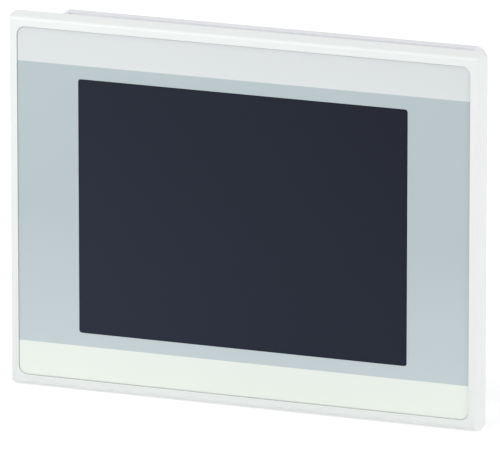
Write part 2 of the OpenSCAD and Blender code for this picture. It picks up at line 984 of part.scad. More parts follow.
module housing_shell() {
    difference() {
        union() {
            depth_slab(0, step_y)
                rounded_rect(housing_w, housing_h, housing_r);
            depth_slab(0, housing_y)
                sided_rect([-side_x, -top_z], [deep_x, top_z], housing_r, deep_r);
        }
        depth_slab(-1, step_y - wall)
            rounded_rect(2 * inner_x, 2 * inner_z, 1);
        depth_slab(-1, housing_floor_y)
            sided_rect([-inner_x, -inner_z], [deep_inner_x, inner_z], 1, deep_r - wall);
    }
}

module rear_housing() {
    color("#eceff0")
        difference() {
            union() {
                housing_shell();
                for (spot = screw_spots)
                    y_rod(spot, column_r, boss_h, housing_floor_y + 1);
            }
            for (spot = screw_spots) {
                y_rod(spot, m3_r + 0.2, 0, housing_y + 1);
                y_rod(spot, counterbore_r, column_seat_y, housing_y + 1);
            }
            bottom_windows();
            side_windows();
            top_recess();
            vents();
            clamp_slots();
            depth_slab(housing_y - plate_t, housing_y + 1)
                translate([deep_mid_x, 0])
                    rounded_rect(plate_w + 0.4, plate_h + 0.4, 1.2);
        }
}

module housing_screws() {
    color("silver")
        for (spot = screw_spots)
            y_screw(spot, m3_r, m3_head_r, m3_head_h, m3_drive_r, column_seat_y, screw_end_y);
}

module rating_plate() {
    color("#d0d3d4")
        depth_slab(housing_y - plate_t, housing_y)
            translate([deep_mid_x, 0])
                rounded_rect(plate_w, plate_h, 1);
}

front_bezel();
decor_film();
touch_film();
touch_glass();
touch_tape();
flange_gasket();
display_dust_gasket();
lcd_metal_frame();
lcd_cell();
light_guide();
led_bar();
lcd_back_tray();
display_carrier();
carrier_screws();
board_standoffs();
main_board();
board_screws();
front_connectors();
display_ribbon();
touch_tail();
backlight_wires();
processor();
heat_sink();
memory_chips();
interface_chips();
capacitors();
power_inductor();
ethernet_jack();
ethernet_contacts();
usb_device_shell();
usb_host_shell();
usb_tongues();
serial_port_shells();
serial_port_inserts();
serial_port_jackscrews();
power_header();
power_header_pins();
power_plug();
plug_screws();
card_socket();
card_carriage();
memory_card();
control_button();
switch_plunger();
button_switch();
termination_switch();
termination_slider_1();
termination_slider_2();
battery_holder();
battery_clip();
coin_cell();
rear_housing();
housing_screws();
rating_plate();
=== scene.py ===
"""Looks of the touch panel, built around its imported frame. Lengths are in metres."""

import json
import math

import bmesh
import bpy
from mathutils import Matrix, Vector


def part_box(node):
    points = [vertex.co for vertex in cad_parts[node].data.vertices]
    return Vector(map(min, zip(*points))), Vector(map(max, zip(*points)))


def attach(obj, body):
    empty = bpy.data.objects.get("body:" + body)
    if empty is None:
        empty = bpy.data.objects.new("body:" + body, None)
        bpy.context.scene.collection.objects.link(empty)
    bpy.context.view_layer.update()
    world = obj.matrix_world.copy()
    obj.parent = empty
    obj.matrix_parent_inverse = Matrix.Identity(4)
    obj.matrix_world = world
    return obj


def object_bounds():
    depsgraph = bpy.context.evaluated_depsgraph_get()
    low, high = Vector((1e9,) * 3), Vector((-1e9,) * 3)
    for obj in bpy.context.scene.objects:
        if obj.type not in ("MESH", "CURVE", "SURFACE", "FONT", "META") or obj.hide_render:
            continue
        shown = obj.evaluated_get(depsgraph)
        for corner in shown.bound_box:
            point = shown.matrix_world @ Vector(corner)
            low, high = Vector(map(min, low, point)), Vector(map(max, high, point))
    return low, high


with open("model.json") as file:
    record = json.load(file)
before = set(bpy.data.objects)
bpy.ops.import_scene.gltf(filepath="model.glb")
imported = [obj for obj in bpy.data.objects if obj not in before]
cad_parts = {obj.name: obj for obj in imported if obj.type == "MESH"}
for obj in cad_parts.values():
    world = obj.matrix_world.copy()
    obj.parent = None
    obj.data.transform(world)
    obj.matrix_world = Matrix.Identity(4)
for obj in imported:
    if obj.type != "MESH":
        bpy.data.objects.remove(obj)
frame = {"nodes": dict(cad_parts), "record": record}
cad_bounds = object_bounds()
nodes = frame["nodes"]

MM = 0.001

# The camera stands where the photograph's did: azimuth to the object's right and elevation, in
# degrees, distance from the middle of the screen, and how far it is moved aside and down
CAMERA_AZIMUTH = 20.78
CAMERA_ELEVATION = 15.05
CAMERA_DISTANCE = 3.021
CAMERA_RIGHT = 2.9 * MM
CAMERA_DOWN = 0.8 * MM
CAMERA_LENS = 648.0

# Brightness of the room and of the floor's own glow
WORLD_BRIGHTNESS = 0.48
FLOOR_GLOW = 0.41

# How far the floor reaches from the middle, and how far the camera sees
FLOOR_REACH = 60.0
CAMERA_CLIP_END = 200.0

# The studio's lamps, all aimed at the object's middle: name, place, size and power in watts
LAMPS = (
    ("key", (-0.35, -0.50, 0.45), 0.4, 1.95),
    ("front", (-0.7, -1.0, 1.5), 0.5, 4.6),
    ("right", (1.2, -0.3, 0.3), 0.8, 5.6),
    ("over", (-0.3, -0.5, 1.9), 1.0, 6.7),
    ("back", (0.5, 0.9, 1.7), 1.0, 9.6),
)

# Base colours of the two white mouldings
BEZEL_WHITE = (0.672, 0.694, 0.684)
HOUSING_WHITE = (0.665, 0.672, 0.695)

# Heights where the printed film's pale bands begin
TOP_BAND_Z = 49.0 * MM
BOTTOM_BAND_Z = -49.0 * MM

# The rating plate's ruled table: its fields, the margin around it and the width of its rules
PLATE_COLUMNS = 3
PLATE_ROWS = 5
PLATE_MARGIN = 3 * MM
PLATE_RULE = 0.14 * MM


# ---------- node helpers ----------


class Material:
    """A node material around one Principled shader, with short calls for what feeds it."""

    def __init__(self, name, roughness=0.5, metallic=0.0, specular=0.5, coat=0.0):
        self.mat = bpy.data.materials.new(name)
        self.mat.use_nodes = True
        self.tree = self.mat.node_tree
        self.shader = self.tree.nodes["Principled BSDF"]
        self.set("Roughness", roughness)
        self.set("Metallic", metallic)
        self.set("Specular IOR Level", specular)
        self.set("Coat Weight", coat)
        self.position = self.add("ShaderNodeTexCoord").outputs["Object"]

    def add(self, kind, **values):
        node = self.tree.nodes.new(kind)
        for key, value in values.items():
            setattr(node, key, value)
        return node

    def link(self, source, target):
        self.tree.links.new(source, target)

    def set(self, socket, value):
        self.shader.inputs[socket].default_value = value

    def noise(self, scale, detail=3.0, source=None):
        """Noise from 0 to 1, with scale in cycles per metre."""
        node = self.add("ShaderNodeTexNoise")
        node.inputs["Scale"].default_value = scale
        node.inputs["Detail"].default_value = detail
        self.link(source or self.position, node.inputs["Vector"])
        return node.outputs["Fac"]

    def stretched(self, factors):
        """The position with each axis multiplied by its own factor, for brushed grain."""
        node = self.add("ShaderNodeVectorMath", operation="MULTIPLY")
        self.link(self.position, node.inputs[0])
        node.inputs[1].default_value = factors
        return node.outputs["Vector"]

    def ramp(self, source, low, high, low_at=0.3, high_at=0.7):
        """A value from 0 to 1 turned into a colour between two colours."""
        node = self.add("ShaderNodeValToRGB")
        first, last = node.color_ramp.elements
        first.position, last.position = low_at, high_at
        first.color, last.color = (*low, 1.0), (*high, 1.0)
        self.link(source, node.inputs["Fac"])
        return node.outputs["Color"]

    def spread(self, source, low, high):
        """A value from 0 to 1 mapped to the range from low to high."""
        node = self.add("ShaderNodeMapRange")
        node.inputs["To Min"].default_value = low
        node.inputs["To Max"].default_value = high
        self.link(source, node.inputs["Value"])
        return node.outputs["Result"]

    def mix(self, factor, first, second):
        """A colour that goes from first to second as factor goes from 0 to 1."""
        node = self.add("ShaderNodeMix", data_type="RGBA")
        self.link(factor, node.inputs["Factor"])
        for value, socket in ((first, node.inputs[6]), (second, node.inputs[7])):
            if isinstance(value, tuple):
                socket.default_value = (*value, 1.0)
            else:
                self.link(value, socket)
        return node.outputs[2]

    def multiply(self, first, second):
        """The product of two colours."""
        node = self.add("ShaderNodeMix", data_type="RGBA", blend_type="MULTIPLY")
        node.inputs["Factor"].default_value = 1.0
        self.link(first, node.inputs[6])
        self.link(second, node.inputs[7])
        return node.outputs[2]

    def math(self, operation, first, second=0.0):
        node = self.add("ShaderNodeMath", operation=operation)
        for value, socket in ((first, node.inputs[0]), (second, node.inputs[1])):
            if isinstance(value, (int, float)):
                socket.default_value = value
            else:
                self.link(value, socket)
        return node.outputs["Value"]

    def flat(self, across, along):
        """A vector with two of the object's axes, for patterns that lie in one plane."""
        node = self.add("ShaderNodeCombineXYZ")
        self.link(self.axis(across), node.inputs["X"])
        self.link(self.axis(along), node.inputs["Y"])
        return node.outputs["Vector"]

    def lines(self, vector, width, height, thickness, offset=0.0):
        """1 on the joints of a pattern of rectangles and 0 inside them, all in metres."""
        node = self.add("ShaderNodeTexBrick", offset=offset)
        node.inputs["Scale"].default_value = 1.0
        node.inputs["Mortar Size"].default_value = thickness
        node.inputs["Mortar Smooth"].default_value = 0.1
        node.inputs["Brick Width"].default_value = width
        node.inputs["Row Height"].default_value = height
        self.link(vector, node.inputs["Vector"])
        return node.outputs["Fac"]

    def cells(self, scale, source=None):
        """Distance to the nearest of many scattered points, with scale in cycles per metre."""
        node = self.add("ShaderNodeTexVoronoi")
        node.inputs["Scale"].default_value = scale
        self.link(source or self.position, node.inputs["Vector"])
        return node.outputs["Distance"]

    def axis(self, letter):
        node = self.add("ShaderNodeSeparateXYZ")
        self.link(self.position, node.inputs["Vector"])
        return node.outputs[letter]

    def bump(self, height, strength, distance):
        """Bumps of a height map: distance is the real height of a full step, in metres."""
        node = self.add("ShaderNodeBump")
        node.inputs["Strength"].default_value = strength
        node.inputs["Distance"].default_value = distance
        self.link(height, node.inputs["Height"])
        self.link(node.outputs["Normal"], self.shader.inputs["Normal"])

    def colour(self, source):
        self.link(source, self.shader.inputs["Base Color"])

    def rough(self, source):
        self.link(source, self.shader.inputs["Roughness"])


def scaled(colour, factor):
    return tuple(min(1.0, c * factor) for c in colour)


def moulded(name, colour, roughness=0.4, grain=0.15 * MM, height=0.01 * MM, cloud=0.02):
    """A moulded plastic: fine spark-eroded grain, slight clouding and gloss that varies."""
    m = Material(name, roughness=roughness)
    clouds = m.noise(35.0, detail=4.0)
    m.colour(m.ramp(clouds, scaled(colour, 1 - cloud), scaled(colour, 1 + cloud)))
    fine = m.noise(0.6 / grain, detail=2.0)
    m.rough(m.spread(m.noise(220.0), roughness - 0.05, roughness + 0.05))
    m.bump(fine, 0.6, height)
    return m.mat


def metal(name, colour, roughness=0.3, grain=(1.0, 1.0, 1.0), scale=1800.0):
    """A metal whose grain is stretched along the axes with the smaller factors."""
    m = Material(name, roughness=roughness, metallic=1.0)
    streaks = m.noise(scale, detail=4.0, source=m.stretched(grain))
    m.colour(m.ramp(streaks, scaled(colour, 0.9), scaled(colour, 1.06)))
    m.rough(m.spread(streaks, roughness - 0.08, roughness + 0.12))
    m.bump(streaks, 0.25, 0.01 * MM)
    return m.mat


def decor_print():
    """The film's print: a blue-grey field with a pale band above and below it, with painted
    light making both a little lighter towards the bottom, under a fine texture like frosted
    lacquer."""
    m = Material("decor_print", roughness=0.42, specular=0.4)
    low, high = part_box("decor_film")
    height = m.add("ShaderNodeMapRange")
    height.inputs["From Min"].default_value = low.z
    height.inputs["From Max"].default_value = high.z
    m.link(m.axis("Z"), height.inputs["Value"])
    up = height.outputs["Result"]
    # Painted light: the field and the pale bands are lighter towards the bottom, as up goes from
    # 0 at the bottom to 1 at the top
    field = m.ramp(up, (0.462, 0.530, 0.545), (0.384, 0.447, 0.463), 0.05, 0.5)
    pale = m.mix(up, (0.711, 0.756, 0.703), (0.573, 0.597, 0.607))
    above = m.math("GREATER_THAN", m.axis("Z"), TOP_BAND_Z)
    below = m.math("LESS_THAN", m.axis("Z"), BOTTOM_BAND_Z)
    print_and_painted_light = m.mix(m.math("ADD", above, below), field, pale)
    clouds = m.ramp(m.noise(14.0, detail=2.0), (0.985, 0.985, 0.985), (1.0, 1.0, 1.0))
    m.colour(m.multiply(print_and_painted_light, clouds))
    lacquer = m.noise(5200.0, detail=2.0)
    m.rough(m.spread(lacquer, 0.38, 0.48))
    m.bump(lacquer, 0.35, 0.006 * MM)
    return m.mat


def touch_surface():
    """The hard-coated touch film over the display that is off: blue-black, with painted light
    that makes it lighter towards the bottom left, and the fine sparkle of its anti-glare coat."""
    m = Material("touch_surface", roughness=0.34, specular=0.12)
    low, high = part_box("touch_film")
    painted_light_diagonal = m.add("ShaderNodeMapRange")
    painted_light_diagonal.inputs["From Min"].default_value = low.x + low.z
    painted_light_diagonal.inputs["From Max"].default_value = high.x + high.z
    m.link(m.math("ADD", m.axis("X"), m.axis("Z")), painted_light_diagonal.inputs["Value"])
    # Painted light: the blue-black is lighter at the bottom left and darker at the top right
    tint = m.ramp(painted_light_diagonal.outputs["Result"], (0.0145, 0.0200, 0.0350),
                  (0.0085, 0.0110, 0.0215), 0.1, 0.9)
    clouds = m.ramp(m.noise(9.0, detail=1.0), (0.94, 0.94, 0.94), (1.0, 1.0, 1.0))
    m.colour(m.multiply(tint, clouds))
    sparkle = m.noise(6500.0, detail=1.0)
    m.rough(m.spread(sparkle, 0.30, 0.40))
    m.bump(sparkle, 0.3, 0.004 * MM)
    return m.mat


def sheet_of_foam(name, colour, cell, depth, roughness=0.8):
    """Rubber or foam: matt, with open pores of about the given cell size, their pits darkened
    with painted shade.
    """
    m = Material(name, roughness=roughness, specular=0.25)
    pores = m.cells(1.0 / cell)
    # Painted shade: the colour is darkest where the bump below sinks the pores
    m.colour(m.ramp(pores, scaled(colour, 0.6), scaled(colour, 1.25), 0.1, 0.6))
    m.rough(m.spread(m.noise(400.0), roughness - 0.1, roughness + 0.1))
    m.bump(pores, 0.5, depth)
    return m.mat


def clear(name, colour, roughness, transmission, haze):
    """Glass or acrylic with a faint tint; haze is how uneven its gloss is."""
    m = Material(name, roughness=roughness)
    m.set("Transmission Weight", transmission)
    m.set("IOR", 1.5)
    m.colour(m.ramp(m.noise(25.0), scaled(colour, 0.96), scaled(colour, 1.03)))
    m.rough(m.spread(m.noise(300.0), roughness, roughness + haze))
    m.bump(m.noise(900.0), 0.1, 0.002 * MM)
    return m.mat


def circuit_board():
    """Green solder mask over copper tracks, with rows of small tinned vias."""
    m = Material("board_green", roughness=0.32, specular=0.5, coat=0.2)
    plane = m.flat("X", "Z")
    tracks = m.math("MAXIMUM", m.lines(plane, 5.2 * MM, 0.9 * MM, 0.11 * MM, 0.37),
                    m.lines(m.flat("Z", "X"), 7.1 * MM, 1.3 * MM, 0.12 * MM, 0.21))
    patches = m.math("GREATER_THAN", m.noise(55.0, detail=1.0), 0.47)
    copper = m.math("MULTIPLY", tracks, patches)
    mask = m.ramp(m.noise(90.0), (0.010, 0.075, 0.030), (0.014, 0.095, 0.038))
    green = m.mix(copper, mask, (0.030, 0.170, 0.070))
    vias = m.math("LESS_THAN", m.cells(330.0, source=plane), 0.16)
    m.colour(m.mix(vias, green, (0.52, 0.50, 0.42)))
    m.rough(m.spread(copper, 0.36, 0.26))
    m.bump(m.math("ADD", copper, vias), 0.5, 0.03 * MM)
    return m.mat


def flexible_lead(name, film, track, across, pitch):
    """A flexible lead: clear film over parallel tracks that lie side by side along one axis."""
    m = Material(name, roughness=0.28, specular=0.5)
    stripes = m.lines(m.flat("Y", across), 1.0, pitch, 0.3 * pitch)
    tint = m.ramp(m.noise(60.0), scaled(film, 0.92), scaled(film, 1.06))
    m.colour(m.mix(stripes, track, tint))
    m.rough(m.spread(m.noise(350.0), 0.22, 0.36))
    m.bump(stripes, 0.4, 0.02 * MM)
    return m.mat


def led_strip():
    """A white strip with the yellow phosphor of the LEDs where it stands up from its base."""
    m = Material("led_strip", roughness=0.5)
    lens = m.math("GREATER_THAN", m.axis("Y"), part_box("led_bar")[0].y + 1.4 * MM)
    base = m.ramp(m.noise(120.0), (0.78, 0.78, 0.75), (0.86, 0.86, 0.83))
    m.colour(m.mix(lens, base, (0.83, 0.62, 0.12)))
    m.rough(m.spread(m.noise(500.0), 0.35, 0.55))
    m.bump(m.noise(1500.0), 0.3, 0.01 * MM)
    return m.mat


def capacitor_can():
    """Electrolytic capacitors: a dark printed sleeve with one pale stripe, and a bare aluminium
    top."""
    m = Material("capacitor_can", roughness=0.35, metallic=0.35)
    top_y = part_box("capacitors")[1].y - 0.25 * MM
    sleeve = m.ramp(m.noise(200.0), (0.030, 0.034, 0.045), (0.040, 0.045, 0.058))
    stripe = m.math("GREATER_THAN", m.noise(120.0, detail=0.0, source=m.flat("X", "Z")), 0.58)
    wrapped = m.mix(stripe, sleeve, (0.45, 0.47, 0.50))
    m.colour(m.mix(m.math("GREATER_THAN", m.axis("Y"), top_y), wrapped, (0.70, 0.71, 0.73)))
    m.rough(m.spread(m.noise(600.0), 0.28, 0.42))
    m.bump(m.noise(900.0, source=m.stretched((1.0, 0.1, 1.0))), 0.3, 0.01 * MM)
    return m.mat


def blank_plate():
    """The rating plate's silvery film, ruled into empty fields inside a margin."""
    low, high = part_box("rating_plate")
    width, height = high.x - low.x, high.z - low.z
    m = Material("label_film", roughness=0.38, metallic=0.25)
    shifted = m.add("ShaderNodeVectorMath", operation="SUBTRACT")
    m.link(m.flat("X", "Z"), shifted.inputs[0])
    shifted.inputs[1].default_value = (low.x + PLATE_MARGIN, low.z + PLATE_MARGIN, 0)
    field_width = (width - 2 * PLATE_MARGIN) / PLATE_COLUMNS
    field_height = (height - 2 * PLATE_MARGIN) / PLATE_ROWS
    rules = m.lines(shifted.outputs["Vector"], field_width, field_height, PLATE_RULE)
    across = m.math("ABSOLUTE", m.math("SUBTRACT", m.axis("X"), (low.x + high.x) / 2))
    up = m.math("ABSOLUTE", m.axis("Z"))
    inside = m.math(
        "MULTIPLY",
        m.math("LESS_THAN", across, width / 2 - PLATE_MARGIN + PLATE_RULE),
        m.math("LESS_THAN", up, height / 2 - PLATE_MARGIN + PLATE_RULE),
    )
    film = m.ramp(m.noise(500.0, source=m.stretched((0.05, 1.0, 1.0))),
                  (0.56, 0.57, 0.58), (0.63, 0.64, 0.65))
    m.colour(m.mix(m.math("MULTIPLY", rules, inside), film, (0.16, 0.17, 0.19)))
    m.rough(m.spread(m.noise(400.0), 0.32, 0.45))
    m.bump(m.noise(2500.0), 0.2, 0.004 * MM)
    return m.mat


def card_label():
    """The memory card's paper label: off-white with a coloured band along one long side."""
    m = Material("card_label", roughness=0.55)
    top_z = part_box("memory_card")[1].z
    band = m.math("GREATER_THAN", m.axis("Z"), top_z - 7.5 * MM)
    paper = m.ramp(m.noise(300.0), (0.66, 0.66, 0.64), (0.72, 0.72, 0.70))
    m.colour(m.mix(band, paper, (0.05, 0.20, 0.36)))
    m.rough(m.spread(m.noise(500.0), 0.45, 0.65))
    m.bump(m.noise(1800.0), 0.3, 0.01 * MM)
    return m.mat


def jack_light(name, colour):
    """A milky indicator window that is off."""
    m = Material(name, roughness=0.3)
    m.set("Subsurface Weight", 0.2)
    m.set("Subsurface Radius", (0.4 * MM, 0.4 * MM, 0.4 * MM))
    m.colour(m.ramp(m.noise(700.0), scaled(colour, 0.85), scaled(colour, 1.1)))
    m.rough(m.spread(m.noise(900.0), 0.24, 0.36))
    m.bump(m.noise(1500.0), 0.2, 0.005 * MM)
    return m.mat


def make_materials():
    """One material for each material slot of the record."""
    steel_grain = (0.04, 1.0, 1.0)
    return {
        "bezel_plastic": moulded("bezel_plastic", BEZEL_WHITE, roughness=0.44, grain=0.2 * MM,
                                 height=0.004 * MM, cloud=0.008),
        "housing_plastic": moulded("housing_plastic", HOUSING_WHITE, roughness=0.52,
                                   grain=0.35 * MM, height=0.02 * MM, cloud=0.01),
        "decor_print": decor_print(),
        "touch_surface": touch_surface(),
        "touch_glass": clear("touch_glass", (0.90, 0.97, 0.94), 0.02, 0.9, 0.03),
        "adhesive": sheet_of_foam("adhesive", (0.015, 0.015, 0.016), 0.25 * MM, 0.01 * MM, 0.6),
        "gasket_rubber": sheet_of_foam("gasket_rubber", (0.030, 0.030, 0.032), 0.5 * MM,
                                       0.02 * MM, 0.7),
        "gasket_foam": sheet_of_foam("gasket_foam", (0.022, 0.022, 0.024), 0.4 * MM,
                                     0.06 * MM, 0.9),
        "stainless_skin": metal("stainless_skin", (0.60, 0.61, 0.62), 0.3, steel_grain),
        "cell_glass": clear("cell_glass", (0.05, 0.055, 0.07), 0.05, 0.15, 0.05),
        "guide_acrylic": clear("guide_acrylic", (0.90, 0.94, 0.94), 0.12, 0.7, 0.1),
        "led_strip": led_strip(),
        "white_plastic": moulded("white_plastic", (0.80, 0.80, 0.78), 0.42),
        "zinc_sheet": metal("zinc_sheet", (0.55, 0.57, 0.60), 0.38, (1.0, 1.0, 1.0), 260.0),
        "zinc_screw": metal("zinc_screw", (0.62, 0.63, 0.65), 0.28, (1.0, 0.1, 1.0), 2500.0),
        "brass_part": metal("brass_part", (0.72, 0.55, 0.26), 0.28, (1.0, 0.1, 1.0), 2000.0),
        "gold_contact": metal("gold_contact", (0.95, 0.74, 0.36), 0.22, (1.0, 1.0, 0.1)),
        "board_green": circuit_board(),
        "ivory_plastic": moulded("ivory_plastic", (0.74, 0.68, 0.55), 0.45),
        "polyimide": flexible_lead("polyimide", (0.50, 0.22, 0.05), (0.62, 0.36, 0.14), "X",
                                   0.5 * MM),
        "red_wire": moulded("red_wire", (0.50, 0.03, 0.03), 0.38, cloud=0.06),
        "chip_black": moulded("chip_black", (0.022, 0.022, 0.024), 0.5, 0.12 * MM, 0.02 * MM,
                              cloud=0.1),
        "sink_aluminium": metal("sink_aluminium", (0.66, 0.67, 0.69), 0.34, (1.0, 0.08, 0.08)),
        "capacitor_can": capacitor_can(),
        "port_shell": metal("port_shell", (0.70, 0.70, 0.69), 0.26, (1.0, 1.0, 0.06)),
        "port_insert": moulded("port_insert", (0.020, 0.020, 0.022), 0.42, cloud=0.08),
        "header_green": moulded("header_green", (0.030, 0.200, 0.085), 0.4, cloud=0.05),
        "plug_green": moulded("plug_green", (0.045, 0.290, 0.120), 0.4, cloud=0.05),
        "tin_pin": metal("tin_pin", (0.72, 0.72, 0.72), 0.3, (1.0, 1.0, 0.1)),
        "dark_plastic": moulded("dark_plastic", (0.030, 0.031, 0.034), 0.42, cloud=0.08),
        "card_plastic": moulded("card_plastic", (0.014, 0.017, 0.026), 0.36, 0.25 * MM,
                                0.012 * MM, cloud=0.06),
        "button_plastic": moulded("button_plastic", (0.60, 0.61, 0.62), 0.36, cloud=0.02),
        "switch_red": moulded("switch_red", (0.45, 0.030, 0.028), 0.38, cloud=0.05),
        "cell_steel": metal("cell_steel", (0.66, 0.67, 0.68), 0.24, (1.0, 1.0, 1.0), 700.0),
        "label_film": blank_plate(),
    }


# ---------- geometry helpers ----------

# Steps around each rounded corner, along a spring leaf and around a wire ring, the sides of
# the ring's wire, and the thickness of the springs' sheet
CORNER_STEPS = 4
LEAF_STEPS = 14
RING_STEPS = 48
WIRE_SIDES = 10
LEAF_THICKNESS = 0.15 * MM

# What soften() takes for one point and, in degrees, for one flat face; and the angle from
# which an edge is rounded, in degrees, on CAD nodes and on the pieces added to them
WELD_WITHIN = 0.002 * MM
FLAT_WITHIN = 0.6
NODE_SHARP_FROM = 30.0
PIECE_SHARP_FROM = 40.0


def soften(name, width):
    """Rounds a CAD node's sharp edges with modifiers; its own mesh stays as it is."""
    obj = nodes[name]
    for attribute in [a for a in obj.data.attributes if a.name == "custom_normal"]:
        obj.data.attributes.remove(attribute)
    obj.data.shade_smooth()
    weld = obj.modifiers.new("weld", "WELD")
    weld.merge_threshold = WELD_WITHIN
    flat = obj.modifiers.new("flat", "DECIMATE")
    flat.decimate_type = "DISSOLVE"
    flat.angle_limit = math.radians(FLAT_WITHIN)
    if name in SPLIT_FACES:
        split = obj.modifiers.new("split", "TRIANGULATE")
        split.min_vertices = 5
    if width > 0:
        bevel = obj.modifiers.new("bevel", "BEVEL")
        bevel.width = width
        bevel.segments = 3
        bevel.limit_method = "ANGLE"
        bevel.angle_limit = math.radians(NODE_SHARP_FROM)
        bevel.use_clamp_overlap = True
        bevel.miter_outer = "MITER_ARC"
    normals = obj.modifiers.new("normals", "WEIGHTED_NORMAL")
    normals.keep_sharp = False
    normals.weight = 100


def paint(name, material):
    """Gives a CAD node one material in place of those it came with."""
    slots = nodes[name].data.materials
    slots.clear()
    slots.append(material)


def rounded(width, height, radius):
    """The outline of a rectangle with round corners, as flat points around its middle."""
    points = []
    for turn, (sx, sy) in enumerate(((1, 1), (-1, 1), (-1, -1), (1, -1))):
        for i in range(CORNER_STEPS + 1):
            angle = math.radians(90 * (turn + i / CORNER_STEPS))
            points.append((sx * (width / 2 - radius) + radius * math.cos(angle),
                           sy * (height / 2 - radius) + radius * math.sin(angle)))
    return points


def prism(bm, corners, push):
    """A solid between a flat outline and the same outline moved by push."""
    bottom = [bm.verts.new(c) for c in corners]
    top = [bm.verts.new(Vector(c) + Vector(push)) for c in corners]
    bm.faces.new(bottom)
    bm.faces.new(top)
    for i in range(len(corners)):
        j = (i + 1) % len(corners)
        bm.faces.new((bottom[i], bottom[j], top[j], top[i]))


def pad(bm, x, z, y, width, height, radius, push):
    """A rounded plate in the X-Z plane that is push thick, along Y, from depth y."""
    prism(bm, [(x + u, y, z + v) for u, v in rounded(width, height, radius)], (0, push, 0))


def tube(bm, rings, closed):
    """Skins rings of points, each to the next, with end caps unless the last meets the first."""
    rings = [[bm.verts.new(point) for point in ring] for ring in rings]
    pairs = list(zip(rings, rings[1:]))
    if closed:
        pairs.append((rings[-1], rings[0]))
    else:
        bm.faces.new(rings[0])
        bm.faces.new(rings[-1])
    for first, second in pairs:
        for i in range(len(first)):
            j = (i + 1) % len(first)
            bm.faces.new((first[i], first[j], second[j], second[i]))


def leaf(bm, start, along, up, height, width):
    """A sheet-metal spring that bows up between two ends sunk in a wall, and narrows as it
    goes."""
    start, along, up = Vector(start), Vector(along), Vector(up)
    across = along.cross(up).normalized() * width / 2
    lift = up * LEAF_THICKNESS
    rings = []
    for i in range(LEAF_STEPS + 1):
        t = i / LEAF_STEPS
        bow = height * math.sin(math.pi * t) ** 1.5
        centre = start + along * t + up * bow - lift / 2
        side = across * (1 - 0.25 * t)
        rings.append([centre - side, centre + side, centre + side + lift, centre - side + lift])
    tube(bm, rings, closed=False)


def wire_ring(bm, centre, radius, wire):
    """A turn of round wire around the Y axis; wire is the wire's radius."""
    rings = []
    for i in range(RING_STEPS):
        turn = 2 * math.pi * i / RING_STEPS
        out = Vector((math.cos(turn), 0, math.sin(turn)))
        ring = []
        for j in range(WIRE_SIDES):
            lean = 2 * math.pi * j / WIRE_SIDES
            ring.append(Vector(centre) + out * (radius + wire * math.cos(lean))
                        + Vector((0, wire * math.sin(lean), 0)))
        rings.append(ring)
    tube(bm, rings, closed=True)


def add_piece(name, bm, slot, body="panel", material=None, bevel=0.0):
    """Makes a piece of a bmesh, with softly rounded edges, and lets it ride on a body."""
    bmesh.ops.recalc_face_normals(bm, faces=bm.faces)
    mesh = bpy.data.meshes.new(name)
    bm.to_mesh(mesh)
    bm.free()
    mesh.shade_smooth()
    mesh.materials.append(material or materials[slot])
    piece = bpy.data.objects.new(name, mesh)
    bpy.context.scene.collection.objects.link(piece)
    if bevel > 0:
        edges = piece.modifiers.new("bevel", "BEVEL")
        edges.width = bevel
        edges.segments = 2
        edges.limit_method = "ANGLE"
        edges.angle_limit = math.radians(PIECE_SHARP_FROM)
    normals = piece.modifiers.new("normals", "WEIGHTED_NORMAL")
    normals.keep_sharp = False
    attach(piece, body)


# Nodes whose large faces have windows in them: those faces are split into triangles before
# the edges are rounded, so that no window is covered over
SPLIT_FACES = {"front_bezel", "rear_housing", "serial_port_shells", "usb_device_shell",
               "usb_host_shell", "power_header", "ethernet_jack"}

# How far the edges of each CAD node are rounded
EDGE_ROUNDING = {
    "front_bezel": 0.25 * MM,
    "decor_film": 0.04 * MM,
    "touch_film": 0.0,
    "rear_housing": 0.4 * MM,
    "rating_plate": 0.08 * MM,
    "flange_gasket": 0.15 * MM,
    "housing_screws": 0.12 * MM,
    "ethernet_jack": 0.25 * MM,
    "usb_device_shell": 0.3 * MM,
    "usb_host_shell": 0.15 * MM,
    "usb_tongues": 0.15 * MM,
    "serial_port_shells": 0.15 * MM,
    "serial_port_inserts": 0.12 * MM,
    "serial_port_jackscrews": 0.2 * MM,
    "power_header": 0.25 * MM,
    "power_header_pins": 0.1 * MM,
    "power_plug": 0.3 * MM,
    "plug_screws": 0.1 * MM,
    "card_socket": 0.12 * MM,
    "card_carriage": 0.15 * MM,
    "memory_card": 0.2 * MM,
    "control_button": 0.35 * MM,
    "button_switch": 0.2 * MM,
    "termination_switch": 0.15 * MM,
    "termination_slider_1": 0.12 * MM,
    "termination_slider_2": 0.12 * MM,
    "heat_sink": 0.15 * MM,
    "processor": 0.12 * MM,
    "memory_chips": 0.1 * MM,
    "interface_chips": 0.12 * MM,
    "capacitors": 0.3 * MM,
    "power_inductor": 0.3 * MM,
    "battery_holder": 0.25 * MM,
    "battery_clip": 0.1 * MM,
    "coin_cell": 0.3 * MM,
    "main_board": 0.1 * MM,
    "board_screws": 0.15 * MM,
    "display_carrier": 0.15 * MM,
    "carrier_screws": 0.15 * MM,
}


# ---------- stage ----------


def make_camera():
    """A camera with a very long lens, where the photograph's stood."""
    azimuth, elevation = math.radians(CAMERA_AZIMUTH), math.radians(CAMERA_ELEVATION)
    back = Vector((
        math.sin(azimuth) * math.cos(elevation),
        -math.cos(azimuth) * math.cos(elevation),
        math.sin(elevation),
    ))
    turn = (-back).to_track_quat("-Z", "Y")
    camera = bpy.data.objects.new("camera", bpy.data.cameras.new("camera"))
    bpy.context.scene.collection.objects.link(camera)
    screen = Vector((0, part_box("front_bezel")[0].y, 0))
    aside = turn @ Vector((CAMERA_RIGHT, -CAMERA_DOWN, 0))
    camera.location = screen + back * CAMERA_DISTANCE + aside
    camera.rotation_euler = turn.to_euler()
    camera.data.lens = CAMERA_LENS
    camera.data.sensor_width = 36.0
    camera.data.clip_end = CAMERA_CLIP_END
    bpy.context.scene.camera = camera


